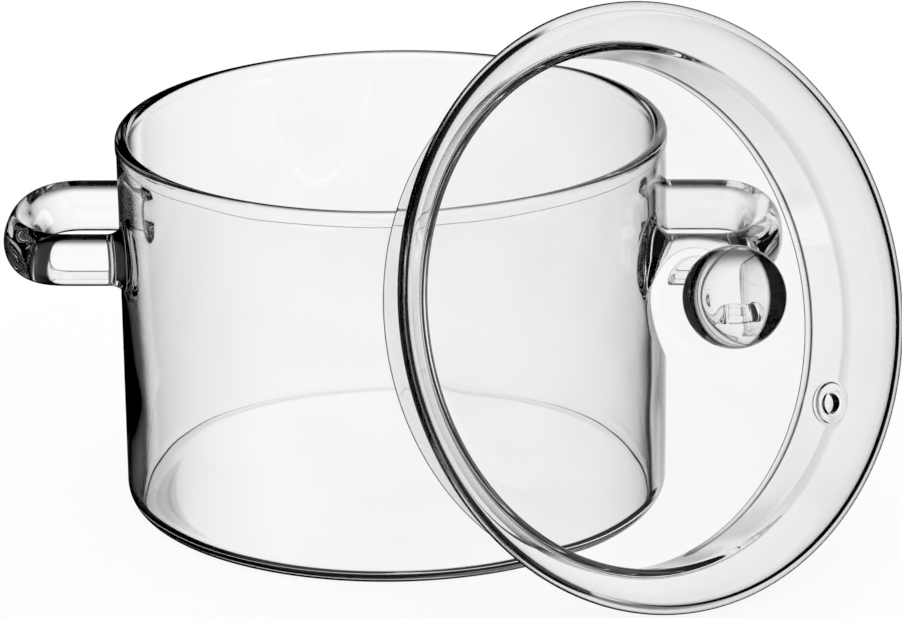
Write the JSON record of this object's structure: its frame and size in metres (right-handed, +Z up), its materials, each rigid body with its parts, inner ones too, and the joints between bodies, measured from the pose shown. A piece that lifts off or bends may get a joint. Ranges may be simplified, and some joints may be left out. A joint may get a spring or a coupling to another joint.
{
  "type": "cooking pot",
  "caption": "Clear glass stovetop cooking pot, straight-walled, with loop handles on both sides and a domed lid with a collar, ball knob and steam vent, leaning on it.",
  "frame": {"origin": "middle of the flat underside of the pot, on the surface that it stands on", "axes": "+Z up along the pot's axis, +X through the right handle, -Y towards the side where the lid leans"},
  "size_m": [0.2626, 0.2146, 0.1628],
  "materials": {
    "clear_glass": "clear, fire-polished borosilicate glass"
  },
  "bodies": {
    "pot": {"pot_body": "clear_glass", "handle_left": "clear_glass", "handle_right": "clear_glass"},
    "lid": {"lid_dome": "clear_glass", "lid_collar": "clear_glass", "lid_knob": "clear_glass", "vent_ring": "clear_glass"}
  },
  "joints": [
    {"name": "lid_lift", "type": "slide", "parent": "pot", "child": "lid", "axis": [0.5985, -0.726, 0.3387], "range_m": [0, 0.12]}
  ]
}
